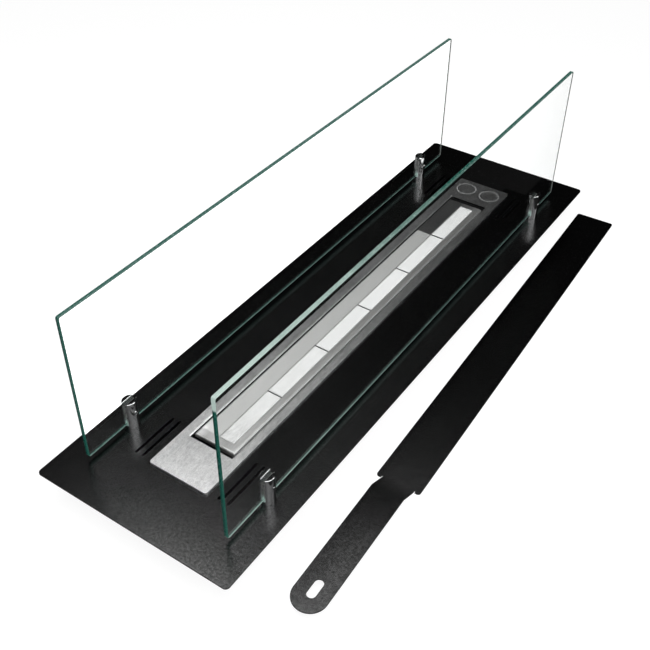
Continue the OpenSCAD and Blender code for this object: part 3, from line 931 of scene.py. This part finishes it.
def makeDividers():  # notched plates, one between each two bays
    low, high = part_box("divider_1")
    points = [v.co for v in nodes["divider_1"].data.vertices]
    shoulder = sorted({round(p.z, 5) for p in points})[-2]
    under = [p for p in points if p.z < shoulder - dividerSizes["level"]]
    neck = [p.x for p in points if p.z > high.z - dividerSizes["top"]]
    notches = sorted({round(p.x, 5) for p in under if p.z > low.z + dividerSizes["level"]})
    notchTop = max(p.z for p in under)
    outline = [(low.x, low.z)]
    for a, b in zip(notches[::2], notches[1::2]):
        outline += [(a, low.z), (a, notchTop), (b, notchTop), (b, low.z)]
    outline += [(high.x, low.z), (high.x, shoulder), (max(neck), shoulder), (max(neck), high.z)]
    outline += [(min(neck), high.z), (min(neck), shoulder), (low.x, shoulder)]
    thick = high.y - low.y
    bm = bmesh.new()
    front = bm.faces.new([bm.verts.new((x, -thick / 2, z)) for x, z in outline])
    grown = bmesh.ops.extrude_face_region(bm, geom=[front])["geom"]
    back = [v for v in grown if isinstance(v, bmesh.types.BMVert)]
    bmesh.ops.translate(bm, vec=(0, thick, 0), verts=back)
    count = dividerSizes["count"]
    pitch = (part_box(f"divider_{count}")[0].y - low.y) / (count - 1)
    rows = {"Count X": 1, "Count Y": count, "Pitch X": 0.0, "Pitch Y": pitch}
    rows.update({"Twist": (0.0, 0.0, 0.0), "Seed": 1})
    stoodFor = [f"divider_{n}" for n in range(1, count + 1)]
    setOut("bay_dividers", bm, rows, tankSteel, "tank_unit", "tank_steel", *stoodFor)


makeDividers()
print("fasteners and dividers made")


paneSizes = {"round": 0.003, "chamfer": 0.0007, "steps": 10, "smooth": 25}


def makePane(side):
    node = "glass_" + side
    low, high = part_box(node)
    corner, chamfer, steps = paneSizes["round"], paneSizes["chamfer"], paneSizes["steps"]
    yNear, yFar, zLow, zHigh = low.y + corner, high.y - corner, low.z + corner, high.z - corner
    bm = bmesh.new()
    rings = []
    for x, inset in ((low.x, chamfer), (low.x + chamfer, 0.0), (high.x - chamfer, 0.0), (high.x, chamfer)):
        ring = []
        for turn, (y, z) in enumerate(((yFar, zHigh), (yNear, zHigh), (yNear, zLow), (yFar, zLow))):
            for step in range(steps + 1):
                angle, reach = math.radians(90 * (turn + step / steps)), corner - inset
                ring.append(bm.verts.new((x, y + reach * math.cos(angle), z + reach * math.sin(angle))))
        rings.append(ring)
    for first, second in zip(rings, rings[1:]):
        for face in joinRings(bm, first, second):
            face.material_index = 1
    bm.faces.new(rings[0])
    bm.faces.new(reversed(rings[-1]))
    faceOutward(bm)
    piece = toPiece(bm, "pane_" + side, paneFace, paneEdges[side])
    smooth(piece.data, paneSizes["smooth"])
    place(piece, "base", "pane_glass", node)


for side in ("left", "right"):
    makePane(side)
print("panes made")


woolSizes = {
    "count": 6, "cell": 0.0014, "bodyCell": 0.007, "neck": 0.006, "neckGap": 0.0002, "bodyGap": 0.0012,
    "lift": 0.00035, "edgeDrop": 1.3, "sink": 0.75, "edgeWidth": 0.004, "bumps": ((0.16, 0.6), (0.7, 0.4)),
    "ragged": 0.0007, "raggedLow": 0.2, "waves": ((0.22, 0.6), (0.9, 0.4)),
    "bodyWave": 90, "bodyDepth": 0.0002, "smooth": 60,
}


def boxGrid(bm, low, high, size):  # closed box of small quads; gives its vertices
    counts = [max(1, round((high[n] - low[n]) / size)) for n in range(3)]
    seen = {}

    def vert(steps):
        if steps not in seen:
            place = [low[n] + (high[n] - low[n]) * (steps[n] / counts[n]) for n in range(3)]
            seen[steps] = bm.verts.new(place)
        return seen[steps]

    for axis, first, second in ((2, 0, 1), (1, 0, 2), (0, 1, 2)):
        for end in (0, counts[axis]):
            for i in range(counts[first]):
                for j in range(counts[second]):
                    corners = []
                    for a, b in ((i, j), (i + 1, j), (i + 1, j + 1), (i, j + 1)):
                        steps = {axis: end, first: a, second: b}
                        corners.append(vert((steps[0], steps[1], steps[2])))
                    bm.faces.new(corners)
    return list(seen.values())


def unevenness(at, shift, waves):  # a broad and a fine noise, each with its share
    (broad, broadShare), (fine, fineShare) = waves
    return noise.noise(at * broad + Vector(shift)) * broadShare + noise.noise(at * fine) * fineShare


def makeWoolBlock(number):  # neck that shows in the slot, and the body in the tank
    w = woolSizes
    node = f"wool_block_{number}"
    low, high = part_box(node)
    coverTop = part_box("slot_cover")[1].z
    points = [v.co for v in nodes[node].data.vertices]
    exposed = [p for p in points if p.z > coverTop - w["neckGap"]]
    neckLow = Vector((min(p.x for p in exposed), min(p.y for p in exposed), coverTop - w["neck"]))
    neckHigh = Vector((max(p.x for p in exposed), max(p.y for p in exposed), high.z))
    bodyTop = max(p.z for p in points if p.z < coverTop - w["bodyGap"])
    bm = bmesh.new()
    neck = boxGrid(bm, neckLow, neckHigh, w["cell"])
    body = boxGrid(bm, low, Vector((high.x, high.y, bodyTop)), w["bodyCell"])
    faceOutward(bm)
    bm.normal_update()
    for v in neck:
        p = v.co
        top = (p.z - neckLow.z) / (neckHigh.z - neckLow.z)
        edge = min(p.x - neckLow.x, neckHigh.x - p.x, p.y - neckLow.y, neckHigh.y - p.y)
        drop = max(0.0, 1 - edge / w["edgeWidth"]) ** 2
        at = p * 1000
        if p.z > neckHigh.z - 1e-6:
            rise = unevenness(at, (number * 9, 0, 0), w["bumps"])
            v.co.z += w["lift"] * (rise - w["sink"] - w["edgeDrop"] * drop)
        if edge < 1e-6:
            wave = unevenness(at, (0, number * 7, 3), w["waves"])
            depth = w["ragged"] * (0.5 + 0.5 * wave)
            v.co -= v.normal * depth * (w["raggedLow"] + (1 - w["raggedLow"]) * top)
    for v in body:
        v.co += v.normal * (noise.noise(v.co * w["bodyWave"]) - 1) * w["bodyDepth"]
    piece = toPiece(bm, f"wool_{number}", ceramicWool)
    smooth(piece.data, w["smooth"])
    place(piece, "tank_unit", "ceramic_wool", node)


for number in range(1, woolSizes["count"] + 1):
    makeWoolBlock(number)
print("wool made")


# stage and light
stageLook = {
    "size": 24, "white": 0.93, "shade": 0.16, "bounce": 0.55, "through": 1.5, "ambient": 0.06,
    "mirror": 0.012, "mirrorLeft": 0.2, "mirrorX": (-0.22, -0.17), "mirrorSky": 0.008,
}


def rayKinds(tree):  # camera rays, camera rays through the glass, and rays off a shiny surface
    path = addNode(tree, "ShaderNodeLightPath").outputs
    mirror, scatter = (maths(tree, "MINIMUM", path[kind + " Depth"], 1.0) for kind in ("Glossy", "Diffuse"))
    clean = times(tree, minus(tree, 1.0, mirror), minus(tree, 1.0, scatter))
    return path["Is Camera Ray"], times(tree, path["Is Transmission Ray"], clean), mirror


def makeFloor(look):
    bpy.ops.mesh.primitive_plane_add(size=look["size"])
    floor = bpy.context.object
    floor.name = "floor"
    material = bpy.data.materials.new("paleFloor")
    material.use_nodes = True
    tree = material.node_tree
    tree.nodes.remove(tree.nodes["Principled BSDF"])
    camera, through, mirror = rayKinds(tree)
    seen = maths(tree, "MAXIMUM", camera, through)
    card = mapRange(tree, axes(tree)[0], *look["mirrorX"], look["mirrorLeft"], look["mirror"])
    glow = plus(tree, times(tree, camera, look["white"]), times(tree, through, look["through"]))
    glow = plus(tree, glow, times(tree, mirror, card))
    unseen = minus(tree, 1.0, maths(tree, "MAXIMUM", seen, mirror))
    tone = plus(tree, times(tree, unseen, look["bounce"]), times(tree, seen, look["shade"]))
    grey = addNode(tree, "ShaderNodeCombineColor", {0: tone, 1: tone, 2: tone}).outputs[0]
    shade = addNode(tree, "ShaderNodeBsdfDiffuse", {"Color": grey})
    light = addNode(tree, "ShaderNodeEmission", {"Strength": glow})
    both = addNode(tree, "ShaderNodeAddShader", {0: shade.outputs[0], 1: light.outputs[0]})
    feed(tree, tree.nodes["Material Output"], Surface=both.outputs[0])
    material.cycles.emission_sampling = "NONE"
    floor.data.materials.append(material)


def makeWorld(look):
    world = bpy.data.worlds.new("studio")
    bpy.context.scene.world = world
    world.use_nodes = True
    world.cycles.sampling_method = "NONE"
    tree = world.node_tree
    camera, through, mirror = rayKinds(tree)
    rest = minus(tree, 1.0, maths(tree, "MAXIMUM", maths(tree, "MAXIMUM", camera, through), mirror))
    level = plus(
        tree, camera, times(tree, through, look["through"]), times(tree, mirror, look["mirrorSky"]),
        times(tree, rest, look["ambient"]),
    )
    background = tree.nodes["Background"]
    background.inputs["Color"].default_value = (1, 1, 1, 1)
    feed(tree, background, Strength=level)


nearEnd, underMain = (0.0, -0.37, 0.05), (0.11, -0.405, 0.0)  # where the lamps aim
softboxes = {
    "overhead": {"centre": (0.11, -0.405, 1.5), "aim": underMain, "size": (1.97, 1.25), "radiance": 3.3},
    "ridge": {"centre": (-0.2, 0.52, 1.5), "aim": (-0.2, 0.52, 0.0), "size": (0.4, 0.5), "radiance": 1.5},
    "rightSide": {"centre": (1.75, 0.0, 1.45), "aim": nearEnd, "size": (1.5, 0.72), "radiance": 1.8},
    "farRight": {"centre": (1.75, 0.8, 1.25), "aim": nearEnd, "size": (0.7, 0.9), "radiance": 2.2},
    "frontRight": {"centre": (1.17, -1.27, 1.5), "aim": nearEnd, "size": (1.8, 0.5), "radiance": 1.8},
    "nearLeft": {"centre": (0.23, -2.3, 1.5), "aim": nearEnd, "size": (1.1, 0.45), "radiance": 2.0},
}


def makeSoftbox(name, box):
    light = bpy.data.lights.new(name, "AREA")
    light.shape = "RECTANGLE"
    light.size, light.size_y = box["size"]
    light.energy = box["radiance"] * math.pi * light.size * light.size_y
    lamp = bpy.data.objects.new(name, light)
    bpy.context.scene.collection.objects.link(lamp)
    lamp.location = box["centre"]
    lamp.rotation_euler = (Vector(box["aim"]) - Vector(box["centre"])).to_track_quat("-Z", "Y").to_euler()
    lamp.visible_camera = False


makeFloor(stageLook)
makeWorld(stageLook)
for name, box in softboxes.items():
    makeSoftbox(name, box)
bpy.context.scene.view_settings.view_transform = "Standard"
print("stage and lamps set")
